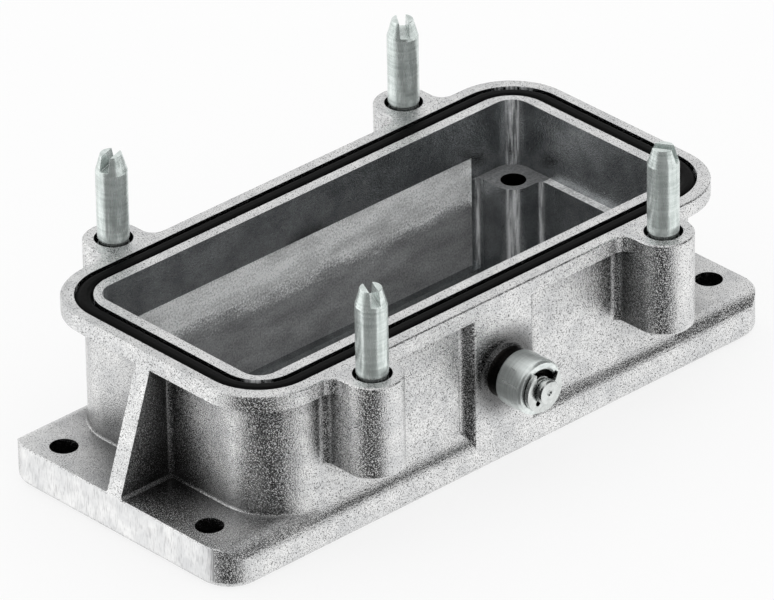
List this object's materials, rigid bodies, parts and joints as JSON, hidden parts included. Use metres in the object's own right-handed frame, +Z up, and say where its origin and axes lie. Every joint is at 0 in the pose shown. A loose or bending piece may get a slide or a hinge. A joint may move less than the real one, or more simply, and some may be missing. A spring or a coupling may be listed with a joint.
{
  "type": "rectangular connector housing",
  "caption": "Open rectangular connector housing with a flanged base, guide pins beside the rim, a sealed rim and a free-turning latch roller on each long side.",
  "frame": {"origin": "on the panel face, the flat underside of the base, in the middle of the opening", "axes": "+X along the long side, +Y across to the rear long side, +Z up out of the panel, the way the mating hood is lifted off"},
  "size_m": [0.112, 0.0688, 0.0431],
  "materials": {
    "casting": "blasted",
    "seal_rubber": "matte",
    "plated_pin": "zinc plated",
    "plated_steel": "zinc plated",
    "spring_steel": "bright"
  },
  "bodies": {
    "base_body": {"housing": "casting", "rim_seal": "seal_rubber", "panel_seal": "seal_rubber", "guide_pin_rear_right": "plated_pin", "guide_pin_rear_left": "plated_pin", "guide_pin_front_left": "plated_pin", "guide_pin_front_right": "plated_pin", "roller_stud_front": "plated_steel", "roller_stud_rear": "plated_steel", "roller_clip_front": "spring_steel", "roller_clip_rear": "spring_steel"},
    "front_roller": {"roller_front": "plated_steel"},
    "rear_roller": {"roller_rear": "plated_steel"}
  },
  "joints": [
    {"name": "front_roller_spin", "type": "hinge", "parent": "base_body", "child": "front_roller", "pos_m": [0, -0.02983, 0.01555], "axis": [0, 1, 0], "continuous": true},
    {"name": "rear_roller_spin", "type": "hinge", "parent": "base_body", "child": "rear_roller", "pos_m": [0, 0.02983, 0.01555], "axis": [0, 1, 0], "continuous": true}
  ]
}
